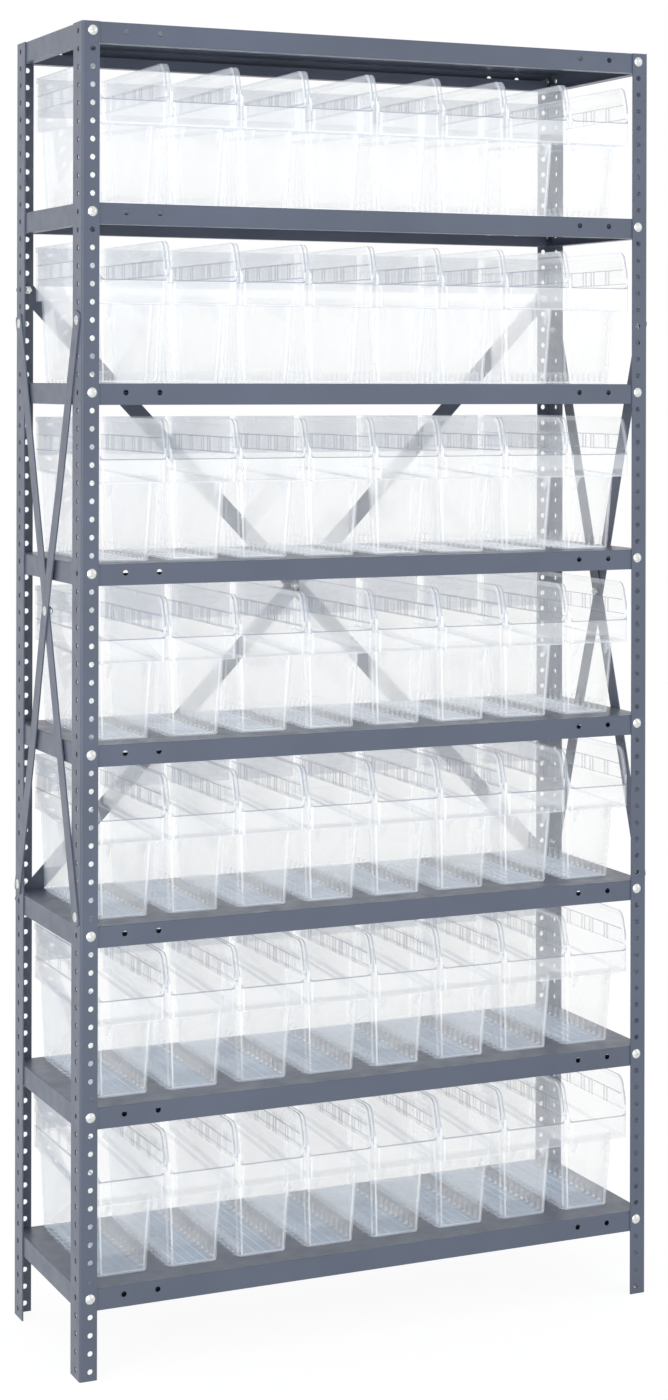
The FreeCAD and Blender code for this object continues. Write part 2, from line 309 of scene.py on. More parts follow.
class NodeGraph:
    """The nodes of a material or a world, with short ways to add and join them."""

    def __init__(self, owner: bpy.types.Material | bpy.types.World) -> None:
        """Starts with no nodes.

        Args:
            owner: The material or world that they belong to.
        """
        self.owner = owner
        owner.use_nodes = True
        self.tree = owner.node_tree
        self.tree.nodes.clear()

    @classmethod
    def material(cls, name: str) -> "NodeGraph":
        """Starts a new material of that name."""
        return cls(bpy.data.materials.new(name))

    @cached_property
    def place(self) -> Socket:
        """A point's place on the object, in metres."""
        return self.add("ShaderNodeTexCoord", "Object")

    def add(
        self, kind: str, output: str | int, inputs: dict[str | int, object] | None = None, **values: object
    ) -> Socket:
        """Adds a node.

        Args:
            kind: The node's type.
            output: The output that is wanted, by name or number.
            inputs: What its inputs are linked to or set to, by name or number.
            **values: Its properties.

        Returns:
            The output.
        """
        node = self.tree.nodes.new(kind)
        for name, value in values.items():
            setattr(node, name, value)
        for name, value in (inputs or {}).items():
            if isinstance(value, Socket):
                self.tree.links.new(value, node.inputs[name])
            else:
                node.inputs[name].default_value = value
        return node.outputs[output]

    def noise(self, scale: float, detail: float = 2.0, stretch: Vector | None = None) -> Socket:
        """Adds noise in real size.

        Args:
            scale: Its scale.
            detail: Its detail.
            stretch: How much the coordinates are stretched first.

        Returns:
            The noise's value.
        """
        place = self.place
        if stretch is not None:
            place = self.add("ShaderNodeMapping", "Vector", {"Vector": place, "Scale": stretch})
        return self.add("ShaderNodeTexNoise", "Fac", {"Vector": place, "Scale": scale, "Detail": detail})

    def spread(
        self, value: Socket, low: float, high: float, start: float = 0.3, end: float = 0.7
    ) -> Socket:
        """Spreads part of a value's range over another range.

        Args:
            value: The value, such as a noise.
            low: What it becomes at the start and below.
            high: What it becomes at the end and above.
            start: Where the part starts. The defaults take the middle of a noise.
            end: Where it ends.

        Returns:
            The new value.
        """
        ranges = {"Value": value, "From Min": start, "From Max": end, "To Min": low, "To Max": high}
        return self.add("ShaderNodeMapRange", "Result", ranges)

    def blend(self, factor: Socket, first: tuple, second: tuple) -> Socket:
        """Mixes two colours.

        Args:
            factor: How much of the second shows.
            first: The first colour.
            second: The second colour.

        Returns:
            The mixed colour.
        """
        colours = {"Factor": factor, 6: (*first, 1.0), 7: (*second, 1.0)}
        return self.add("ShaderNodeMix", 2, colours, data_type="RGBA")

    def mix(self, factor: Socket | float, first: Socket, second: Socket) -> Socket:
        """Mixes two shaders.

        Args:
            factor: How much of the second shows.
            first: The first shader.
            second: The second shader.

        Returns:
            The mixed shader.
        """
        return self.add("ShaderNodeMixShader", "Shader", {"Fac": factor, 1: first, 2: second})

    def math(self, operation: str, first: Socket, second: Socket | float) -> Socket:
        """Works out a value from two others.

        Args:
            operation: The name that Math has for it.
            first: The first value.
            second: The second value.

        Returns:
            The new value.
        """
        return self.add("ShaderNodeMath", "Value", {0: first, 1: second}, operation=operation)

    def bump(self, height: Socket, distance: float, strength: float) -> Socket:
        """Adds a bump.

        Args:
            height: The relief.
            distance: How deep it is, in metres.
            strength: How strongly it shows.

        Returns:
            The bent normal.
        """
        relief = {"Height": height, "Distance": distance, "Strength": strength}
        return self.add("ShaderNodeBump", "Normal", relief)

    def any_ray(self, *kinds: str) -> Socket:
        """Gives one for rays of the named kinds, and zero for all others.

        Args:
            *kinds: Outputs of Light Path.

        Returns:
            The value.
        """
        path = self.tree.nodes.new("ShaderNodeLightPath")
        value = path.outputs[kinds[0]]
        for kind in kinds[1:]:
            value = self.math("MAXIMUM", value, path.outputs[kind])
        return value

    def close(self, shader: Socket) -> bpy.types.Material | bpy.types.World:
        """Sends a shader to the surface.

        Args:
            shader: The finished shader.

        Returns:
            The material or world.
        """
        lights_scene = isinstance(self.owner, bpy.types.World)
        kind = "ShaderNodeOutputWorld" if lights_scene else "ShaderNodeOutputMaterial"
        self.tree.links.new(shader, self.tree.nodes.new(kind).inputs["Surface"])
        return self.owner


@dataclass(frozen=True)
class Coat:
    """A coat on steel, with two shades in soft patches, uneven gloss and a fine relief."""

    name: str
    light: tuple
    dark: tuple
    patch_scale: float
    smooth: float
    rough: float
    rough_scale: float
    relief_scale: float
    relief_detail: float
    relief_depth: float
    relief_strength: float
    metallic: float = 0.0
    patch_detail: float = 3.0

    def material(self) -> bpy.types.Material:
        """Makes the material."""
        graph = NodeGraph.material(self.name)
        patches = graph.spread(graph.noise(self.patch_scale, self.patch_detail), 0.0, 1.0)
        relief = graph.noise(self.relief_scale, self.relief_detail)
        look = {
            "Base Color": graph.blend(patches, self.dark, self.light),
            "Metallic": self.metallic,
            "Roughness": graph.spread(graph.noise(self.rough_scale), self.smooth, self.rough),
            "Normal": graph.bump(relief, self.relief_depth, self.relief_strength),
        }
        return graph.close(graph.add("ShaderNodeBsdfPrincipled", "BSDF", look))


@dataclass(frozen=True)
class GreyEnamel(Coat):
    """Baked blue-grey enamel on sheet steel, with a fine orange-peel skin."""

    name: str = "grey_enamel"
    light: tuple = (0.099, 0.117, 0.163)
    dark: tuple = (0.087, 0.102, 0.141)
    patch_scale: float = 7.0
    smooth: float = 0.29
    rough: float = 0.41
    rough_scale: float = 40.0
    relief_scale: float = 900.0
    relief_detail: float = 1.0
    relief_depth: float = 0.12 * MM
    relief_strength: float = 0.10


@dataclass(frozen=True)
class ZincPlate(Coat):
    """Bright zinc on small hardware, a little uneven."""

    name: str = "zinc_plate"
    light: tuple = (0.80, 0.82, 0.80)
    dark: tuple = (0.60, 0.61, 0.59)
    patch_scale: float = 420.0
    smooth: float = 0.2
    rough: float = 0.38
    rough_scale: float = 260.0
    relief_scale: float = 1500.0
    relief_detail: float = 2.0
    relief_depth: float = 0.05 * MM
    relief_strength: float = 0.15
    metallic: float = 1.0


@dataclass(frozen=True)
class ClearPlastic:
    """Clear moulded plastic, slightly milky. Its edges are hazier than its flat walls, and painted shade
    turns them grey-blue, standing in for the dark steel seen through them.

    The haze also has a painted glow, though it is no lamp, which stands in for the light around the bins.
    The glow is dimmer low down, as painted shade where the shelves above keep the light out.
    """

    name: str = "clear_plastic"
    face: tuple = (0.91, 0.94, 0.97)
    # painted shade: the haze turns this grey-blue at grazing angles, standing in for the dark steel seen
    # through the edges
    edge: tuple = (0.58, 0.65, 0.76)
    tint: tuple = (1.0, 0.998, 0.994)
    haze_face: float = 0.055
    haze_edge: float = 0.7
    haze_power: float = 6.0
    cloud_scale: float = 11.0
    thin_cloud: float = 0.8
    thick_cloud: float = 1.25
    # painted glow: the haze gives off light though it is no lamp
    painted_glow: float = 0.65
    # painted shade: below low_height the glow falls to this share; it is full above high_height
    painted_shade_share: float = 0.65
    low_height: float = 0.6
    high_height: float = 1.7
    gloss: float = 0.06
    ripple_scale: float = 38.0
    ripple_depth: float = 0.9 * MM
    ripple_strength: float = 0.12
    ripple_stretch: tuple = (1.0, 1.0, 0.45)
    mirror_face: float = 0.035
    mirror_edge: float = 0.4
    mirror_power: float = 5.0

    def material(self) -> bpy.types.Material:
        """Makes the material."""
        graph = NodeGraph.material(self.name)
        turned = graph.add("ShaderNodeLayerWeight", "Facing", {"Blend": 0.5})
        far_turned = graph.math("POWER", turned, self.haze_power)
        haze = graph.spread(far_turned, self.haze_face, self.haze_edge, 0.0, 1.0)
        clouds = graph.spread(graph.noise(self.cloud_scale), self.thin_cloud, self.thick_cloud)
        through = graph.add("ShaderNodeBsdfTransparent", "BSDF", {"Color": (*self.tint, 1.0)})
        plastic = graph.mix(graph.math("MULTIPLY", haze, clouds), through, self._milk(graph, turned))
        ripple = graph.noise(self.ripple_scale, 2.0, Vector(self.ripple_stretch))
        relief = graph.bump(ripple, self.ripple_depth, self.ripple_strength)
        shine = graph.add("ShaderNodeBsdfGlossy", "BSDF", {"Roughness": self.gloss, "Normal": relief})
        grazing = graph.math("POWER", turned, self.mirror_power)
        mirror = graph.spread(grazing, self.mirror_face, self.mirror_edge, 0.0, 1.0)
        surface = graph.mix(mirror, plastic, shine)
        unhindered = graph.add("ShaderNodeBsdfTransparent", "BSDF", {"Color": WHITE})
        carries_light = graph.any_ray("Is Shadow Ray", "Is Diffuse Ray")
        return graph.close(graph.mix(carries_light, surface, unhindered))

    def _milk(self, graph: NodeGraph, turned: Socket) -> Socket:
        """Makes the haze itself, lit from both sides, and its painted glow, which is no lamp.

        Args:
            graph: The material's nodes.
            turned: How far the surface is turned away, from 0 to 1.

        Returns:
            The haze's shader.
        """
        # painted shade: the haze's colour turns grey-blue towards grazing angles
        colour = graph.blend(graph.math("POWER", turned, 2.0), self.face, self.edge)
        near = graph.add("ShaderNodeBsdfDiffuse", "BSDF", {"Color": colour})
        far = graph.add("ShaderNodeBsdfTranslucent", "BSDF", {"Color": colour})
        # painted glow, dimmer low down as painted shade
        height = graph.add("ShaderNodeSeparateXYZ", "Z", {"Vector": graph.place})
        painted_shade_glow = self.painted_shade_share * self.painted_glow
        strength = graph.spread(height, painted_shade_glow, self.painted_glow, self.low_height, self.high_height)
        painted_glow_shader = graph.add("ShaderNodeEmission", "Emission", {"Color": colour, "Strength": strength})
        return graph.add("ShaderNodeAddShader", "Shader", {0: graph.mix(0.5, near, far), 1: painted_glow_shader})


class BinFinish(Enum):
    """The bin's finishes, in the order of its material slots."""

    WALL = ClearPlastic()
    FROSTED = ClearPlastic("frosted_plastic", face=(0.90, 0.92, 0.94), haze_face=0.22, painted_glow=0.62)
    # painted shade: the back wall is darker, warm grey and hazier, like the dim inside of a bin
    BACK = ClearPlastic("back_painted_shade_plastic", face=(0.86, 0.85, 0.84), haze_face=0.38, painted_glow=0.55)
    # painted highlight: whiter haze and a stronger painted glow on rounded corners, beads and lines
    ROUND = ClearPlastic(
        "round_painted_highlight_plastic", face=(0.95, 0.97, 0.99), edge=(0.74, 0.79, 0.86), haze_face=0.26, painted_glow=0.78
    )
    # painted shade: dark grey lines beside the divider band and on the divider ribs
    RIB = ClearPlastic("rib_painted_shade_plastic", face=(0.40, 0.42, 0.47), haze_face=0.32, painted_glow=0.34)
    # painted shade: a dark grey-blue line along the lip's top edge
    RIM = ClearPlastic("rim_painted_shade_plastic", face=(0.38, 0.43, 0.52), haze_face=0.42, painted_glow=0.2)
    # the floor: blue face-on, white and hazier at grazing angles, with a strong painted glow
    FLOOR = ClearPlastic(
        "floor_plastic", face=(0.22, 0.50, 0.85), edge=(0.97, 0.98, 1.0),
        haze_face=0.1, haze_edge=0.85, haze_power=3.0, painted_glow=0.84,
    )

    @property
    def slot(self) -> int:
        """The finish's place among the slots."""
        return list(BinFinish).index(self)


@dataclass
class ClearBin:
    """A clear shelf bin with a narrow tub, a wide upper part and a low front lip.

    Its pattern stands with its front at y = 0, its middle at x = 0 and its base at z = 0.
    """

    length: float
    width: float
    height: float
    wall: float = 2.0 * MM
    rim_height: float = 7.6 * MM
    rim_proud: float = 0.8 * MM
    ledge_back: float = 123.0 * MM
    ledge_front: float = 112.5 * MM
    lip_height: float = 147.3 * MM
    side_set_back: float = 15.2 * MM
    side_corner: float = 16.0 * MM
    side_corner_steps: int = 6
    tub_front: float = 38.0 * MM
    tub_front_lean: float = 7.0 * MM
    tub_back: float = 5.5 * MM
    tub_back_lean: float = 2.0 * MM
    tub_width: float = 75.2 * MM
    tub_side_lean: float = 6.0 * MM
    tub_corner: float = 7.0 * MM
    base_round: float = 4.0 * MM
    edge_bevel: float = 0.35 * MM
    band_low: float = 153.9 * MM
    band_high: float = 176.5 * MM
    panel_width: float = 77.0 * MM
    panel_margin: float = 2.6 * MM
    panel_depth: float = 0.7 * MM
    divider_first: float = 63.0 * MM
    divider_wide_step: float = 46.0 * MM
    divider_close_step: float = 25.0 * MM
    divider_slot: float = 3.6 * MM
    divider_rib: float = 5.0 * MM
    rib_proud: float = 1.0 * MM
    flute_count: int = 13
    flute_first: float = 14.0 * MM
    flute_pitch: float = 17.6 * MM
    flute_radius: float = 6.2 * MM
    flute_proud: float = 3.2 * MM
    flute_height: float = 17.8 * MM
    flute_taper: float = 0.6
    flute_sides: int = 12
    floor_line_count: int = 4
    floor_line_pitch: float = 15.0 * MM
    floor_line_width: float = 1.4 * MM
    floor_line_proud: float = 0.8 * MM
    floor_line_inset: float = 7.0 * MM
    grip_spacing: float = 54.0 * MM
    grip_width: float = 3.0 * MM
    grip_height: float = 22.0 * MM
    grip_reach: float = 20.0 * MM
    band_depth: float = 0.8 * MM
    line_width: float = 1.2 * MM
    lip_line: float = 1.6 * MM
    bead_width: float = 7.0 * MM

    def pattern(self) -> bpy.types.Object:
        """Models one bin.

        Returns:
            The bin, with its materials.
        """
        bench = self._skin()
        self._open_front(bench)
        self._side_band(bench)
        bench.modifier("SOLIDIFY", thickness=self.wall, offset=-1.0, use_even_offset=True)
        materials = [finish.value.material() for finish in BinFinish]
        bench.take(materials)
        self._finishes(bench)
        self._rim(bench)
        self._label_panel(bench)
        bench.modifier("BEVEL", width=self.edge_bevel, segments=1, angle_limit=SHARP)
        for part, finish in self._added_parts():
            part.take(materials)
            part.everything()
            part.assign(finish.slot)
            part.clear()
            bench.combine(part, Joining.ADD)
        return bench.finish(smooth_angle=35.0)

    def _skin(self) -> Workbench:
        """Draws the outer skin up from the base, with its upright corners rounded.

        Returns:
            The bench that holds the skin, which is open at the top.
        """
        base_half, top_half = self.tub_width / 2, self.tub_width / 2 + self.tub_side_lean
        front_low, front_top = self.tub_front, self.tub_front - self.tub_front_lean
        back_low = self.length - self.tub_back
        back_top = back_low + self.tub_back_lean
        wall_half = self.width / 2 - self.rim_proud
        wall_back = self.length - self.rim_proud
        bench = Workbench.block(
            "clear_bin",
            Vector((-base_half, front_low, 0.0)),
            Vector((base_half, back_low, self.ledge_back)),
        )
        bench.faces(lambda c, n: n.z > 0.9)
        grow = Vector((top_half / base_half, (back_top - front_top) / (back_low - front_low), 1.0))
        middle_low = Vector((0.0, (front_low + back_low) / 2, self.ledge_back))
        bpy.ops.transform.resize(value=grow, center_override=middle_low)
        middle_top = (front_top + back_top) / 2
        bpy.ops.transform.translate(value=(0.0, middle_top - middle_low.y, 0.0))
        spread = Vector((wall_half / top_half, wall_back / (back_top - front_top), 1.0))
        bench.draw_out(Vector(), spread, Vector((0.0, middle_top, self.ledge_back)))
        bpy.ops.transform.translate(value=(0.0, wall_back / 2 - middle_top, 0.0))
        bench.draw_out(Vector((0.0, 0.0, self.height - self.ledge_back)))
        bpy.ops.mesh.delete(type="ONLY_FACE")
        self._slope_ledge(bench)

        def at_corner(a: Vector, b: Vector) -> bool:
            """Whether an edge runs up a corner, or slants across the ledge from corner to corner."""
            rise = abs(a.z - b.z)
            return rise > self.height / 10 or (abs(a.x - b.x) > NEAR and abs(a.y - b.y) > NEAR)

        bench.edges(at_corner)
        bench.bevel(self.tub_corner, segments=4)
        bench.edges(lambda a, b: max(a.z, b.z) < TOUCH)
        bench.bevel(self.base_round, segments=3)
        return bench

    def _slope_ledge(self, bench: Workbench) -> None:
        """Lowers the ledge's front, so that it slopes down to the lip's pocket.

        Args:
            bench: The bench that holds the skin.
        """
        bench.edit(Element.CORNER)
        mesh = bmesh.from_edit_mesh(bench.piece.data)
        for vert in mesh.verts:
            if abs(vert.co.z - self.ledge_back) < TOUCH and vert.co.y < self.length / 2:
                vert.co.z -= self.ledge_back - self.ledge_front
        bmesh.update_edit_mesh(bench.piece.data)

    def _front_edge(self) -> tuple[float, Vector]:
        """Works out where the slanted side edges run.

        Returns:
            Their lean, and the middle of their rounded top corner.
        """
        lean = math.atan(self.side_set_back / (self.height - self.rim_height - self.lip_height))
        corner_y = math.tan(lean) * (self.height - self.lip_height)
        reach = self.side_corner * math.tan((math.pi / 2 - lean) / 2)
        return lean, Vector((0.0, corner_y + reach, self.height - self.side_corner))

    def _in_bead(self, c: Vector) -> bool:
        """Tells whether a point of a side wall lies in the bead along its slanted front edge.

        Args:
            c: The point.

        Returns:
            True if it does.
        """
        if c.z < self.lip_height:
            return False
        lean, centre = self._front_edge()
        outwards = Vector((0.0, -math.cos(lean), math.sin(lean)))
        if (c - Vector((0.0, 0.0, self.lip_height))).dot(outwards) > -self.bead_width:
            return True
        across, up = centre.y - c.y, c.z - centre.z
        return across > 0.0 and up > 0.0 and math.hypot(across, up) > self.side_corner - self.bead_width

    def _open_front(self, bench: Workbench) -> None:
        """Cuts the upper front away along the slanted side edges, and marks the bead beside them.

        Args:
            bench: The bench that holds the skin.
        """
        bench.edit()
        heights = (
            self.ledge_front + self.lip_line,
            self.lip_height - self.lip_line,
            self.band_low,
            self.band_high,
            self.height - self.rim_height,
        )
        for height in heights:
            bench.slice(Vector((0.0, 0.0, height)), Vector((0.0, 0.0, 1.0)))
        lean, centre = self._front_edge()
        foot = Vector((0.0, 0.0, self.lip_height))
        for set_back, keep_both in ((0.0, False), (self.bead_width, True)):
            straight = Vector((0.0, -math.cos(lean), math.sin(lean)))
            bench.slice(foot - straight * set_back, straight, keep_both)
            for n in range(1, self.side_corner_steps):
                angle = lean + (math.pi / 2 - lean) * n / self.side_corner_steps
                normal = Vector((0.0, -math.cos(angle), math.sin(angle)))
                bench.slice(centre + normal * (self.side_corner - set_back), normal, keep_both)

    def _side_band(self, bench: Workbench) -> None:
        """Sets the band that carries the divider ribs a little inwards, with a line above and below.

        Args:
            bench: The bench that holds the skin.
        """
        half, back = self.width / 2 - self.rim_proud - NEAR, self.length - self.rim_proud - NEAR

        def in_band(c: Vector, n: Vector) -> bool:
            """Whether a face lies in the band, away from the rounded corners."""
            flat = (abs(n.x) > 0.999 or n.y > 0.999) and not self._in_bead(c)
            return flat and self.band_low < c.z < self.band_high and (abs(c.x) > half or c.y > back)

        bench.faces(in_band)
        bpy.ops.mesh.inset(thickness=self.line_width, use_boundary=True)
        sideways = (1 - self.band_depth / half, 1.0, 1.0)
        bpy.ops.transform.resize(value=sideways, center_override=(0.0, 0.0, 0.0))

    def _finishes(self, bench: Workbench) -> None:
        """Gives the floor its own finish, the back wall and fine lines painted shade, the rounded edges a
        painted highlight.

        Args:
            bench: The bench that holds the shell.
        """
        line = 1.5 * self.line_width
        inside = self.wall + NEAR

        def on_back(c: Vector, n: Vector) -> bool:
            """Whether a face belongs to the back wall."""
            return abs(n.y) > 0.9 and c.y > self.length - 2 * self.tub_back - NEAR

        def beside_wall(c: Vector, n: Vector) -> bool:
            """Whether a face is the narrow first or last step of an upright rounded corner."""
            return abs(n.z) < 0.5 and 0.94 < max(abs(n.x), abs(n.y)) < 0.99

        def on_floor(c: Vector, n: Vector) -> bool:
            """Whether a face belongs to the floor, inside or outside."""
            return c.z < inside and abs(n.z) > 0.9

        def round_foot(c: Vector, n: Vector) -> bool:
            """Whether a face belongs to the rounded foot."""
            return c.z < self.base_round and -0.8 < n.z < -0.2

        def beside_band(c: Vector, n: Vector) -> bool:
            """Whether a face belongs to the thin lines above and below the divider band."""
            return min(abs(c.z - self.band_low), abs(c.z - self.band_high)) < line and c.y > self.tub_front

        def lip_foot(c: Vector, n: Vector) -> bool:
            """Whether a face is the fine line along the lip's lower edge."""
            return n.y < -0.9 and c.y < inside and self.ledge_front < c.z < self.ledge_front + self.lip_line

        def lip_top(c: Vector, n: Vector) -> bool:
            """Whether a face is the fine line along the lip's upper edge."""
            low = self.lip_height - self.lip_line
            return abs(n.y) > 0.9 and c.y < inside and low < c.z < self.lip_height

        # painted shade on the back wall, the band's lines and the lip's top edge; painted highlight on the
        # rounded corners, the foot, the beads and the lip's lower edge
        for test, finish in (
            (on_back, BinFinish.BACK),
            (beside_wall, BinFinish.ROUND),
            (on_floor, BinFinish.FLOOR),
            (round_foot, BinFinish.ROUND),
            (beside_band, BinFinish.RIB),
            (lambda c, n: self._in_bead(c), BinFinish.ROUND),
            (lip_foot, BinFinish.ROUND),
            (lip_top, BinFinish.RIM),
        ):
            bench.faces(test)
            bench.assign(finish.slot)

    def _rim(self, bench: Workbench) -> None:
        """Draws the rim and the beads out a little from the walls.

        Args:
            bench: The bench that holds the shell.
        """
        low = self.height - self.rim_height
        half, back = self.width / 2 - 2 * self.rim_proud, self.length - 2 * self.rim_proud
        corner = self.tub_corner

        def outside(c: Vector, n: Vector) -> bool:
            """Whether a face lies on the outer skin, above the rim's lower edge or in the bead."""
            if abs(n.z) > 0.5 or n.y < -0.5:
                return False
            if c.z < low + TOUCH:
                return self._in_bead(c) and abs(n.x) > 0.99 and n.x * c.x > 0.0
            sideways = abs(c.x) > half - corner and n.x * c.x > 0.2 * abs(c.x)
            return sideways or (c.y > back - corner and n.y > 0.2)

        bench.faces(outside)
        bpy.ops.mesh.extrude_region_shrink_fatten(TRANSFORM_OT_shrink_fatten={"value": self.rim_proud})
        bench.assign(BinFinish.FROSTED.slot)

    def _label_panel(self, bench: Workbench) -> None:
        """Sinks a flat panel for a label into the front lip, and gives the lip's top edge a line of painted
        shade.

        Args:
            bench: The bench that holds the shell.
        """
        middle, reach = (self.ledge_front + self.lip_height) / 2, (self.lip_height - self.ledge_front) / 6
        bench.faces(lambda c, n: n.y < -0.99 and c.y < NEAR and abs(c.z - middle) < reach)
        bench.assign(BinFinish.FROSTED.slot)
        bpy.ops.mesh.inset(thickness=self.panel_margin)
        flat = self.width - 2 * self.rim_proud - 2 * self.tub_corner - 2 * self.panel_margin
        narrower = (self.panel_width / flat, 1.0, 1.0)
        bpy.ops.transform.resize(value=narrower, center_override=(0.0, 0.0, 0.0))
        bpy.ops.transform.translate(value=(0.0, self.panel_depth, 0.0))
        # painted shade: a dark line along the lip's top edge
        bench.faces(lambda c, n: c.z > self.lip_height - NEAR and (n.z > 0.5 or n.y < -0.8))
        bench.assign(BinFinish.RIM.slot)

    def _added_parts(self) -> Iterable[tuple[Workbench, BinFinish]]:
        """Models the parts that are added to the shell.

        Yields:
            Each part, with its finish.
        """
        # painted shade on the divider ribs
        yield from ((part, BinFinish.RIB) for part in self._divider_ribs())
        yield from ((part, BinFinish.WALL) for part in self._flutes())
        # painted highlight on the floor lines
        yield from ((part, BinFinish.ROUND) for part in self._floor_lines())
        yield from ((part, BinFinish.FROSTED) for part in self._grips())

    def _divider_ribs(self) -> Iterable[Workbench]:
        """Models upright ribs inside the side walls that hold dividers, in pairs with a slot between.

        Yields:
            Each rib.
        """
        inner = self.width / 2 - self.rim_proud - self.wall
        wide, close = self.divider_wide_step, self.divider_close_step
        middles = itertools.accumulate((wide, close, wide, wide, close), initial=self.divider_first)
        for middle, side, step in itertools.product(middles, (-1, 1), (-1, 1)):
            near, far = self.divider_slot / 2, self.divider_slot / 2 + self.divider_rib
            one = Vector((side * (inner + 0.5 * self.wall), middle + step * near, self.band_low))
            other = Vector((side * (inner - self.rib_proud), middle + step * far, self.band_high))
            yield Workbench.block("divider_rib", Vector(map(min, one, other)), Vector(map(max, one, other)))

    def _flutes(self) -> Iterable[Workbench]:
        """Models short swellings along the foot of each side wall, which give it a scalloped edge.

        Yields:
            Each flute.
        """
        foot = self.tub_width / 2
        lean = math.atan(self.tub_side_lean / self.ledge_back)
        for n, side in itertools.product(range(self.flute_count), (-1, 1)):
            Workbench.clear()
            bpy.ops.mesh.primitive_cone_add(
                vertices=self.flute_sides,
                radius1=self.flute_radius,
                radius2=self.flute_taper * self.flute_radius,
                depth=self.flute_height,
                location=(0.0, 0.0, self.flute_height / 2),
            )
            bpy.ops.transform.rotate(value=side * lean, orient_axis="Y", center_override=(0, 0, 0))
            x = side * (foot - self.flute_radius + self.flute_proud)
            y = self.tub_front + self.flute_first + n * self.flute_pitch
            bpy.ops.transform.translate(value=(x, y, self.flute_radius * math.sin(lean)))
            bpy.ops.object.transform_apply(location=True, rotation=True, scale=True)
            yield Workbench("flute")

    def _floor_lines(self) -> Iterable[Workbench]:
        """Models low ridges along the floor inside.

        Yields:
            Each ridge.
        """
        front = self.tub_front + self.floor_line_inset
        back = self.length - self.tub_back - self.floor_line_inset
        half = self.floor_line_width / 2
        for n in range(self.floor_line_count):
            x = (n - (self.floor_line_count - 1) / 2) * self.floor_line_pitch
            low = Vector((x - half, front, 0.5 * self.wall))
            high = Vector((x + half, back, self.wall + self.floor_line_proud))
            yield Workbench.block("floor_line", low, high)

    def _grips(self) -> Iterable[Workbench]:
        """Models two webs under the lip, where fingers pull.

        Yields:
            Each web.
        """
        wall = self.tub_front - self.tub_front_lean * self.ledge_front / self.ledge_back
        half = self.grip_width / 2
        foot = self.ledge_front - self.grip_height
        for x in (-self.grip_spacing / 2, self.grip_spacing / 2):
            low = Vector((x - half, wall - self.grip_reach, foot))
            high = Vector((x + half, wall + NEAR, self.ledge_front + NEAR))
            bench = Workbench.block("grip", low, high)
            bench.edges(lambda a, b: max(a.z, b.z) < self.ledge_front and max(a.y, b.y) < wall - NEAR)
            bpy.ops.transform.translate(value=(0.0, self.grip_reach - NEAR, 0.0))
            yield bench

    def stock(self) -> None:
        """Puts a copy where each of the unit's bins stands, and lets it ride on that bin's body."""
        pattern = self.pattern()
        nodes = sorted(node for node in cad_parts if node.startswith("bin_"))
        for node in nodes:
            low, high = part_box(node)
            place = Matrix.Translation(((low.x + high.x) / 2, low.y, low.z))
            made = copy_at(pattern, f"clear_{node}", place)
            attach(made, node)
            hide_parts(node)
        bpy.data.objects.remove(pattern)
        LOG.info("clear bins: %d", len(nodes))


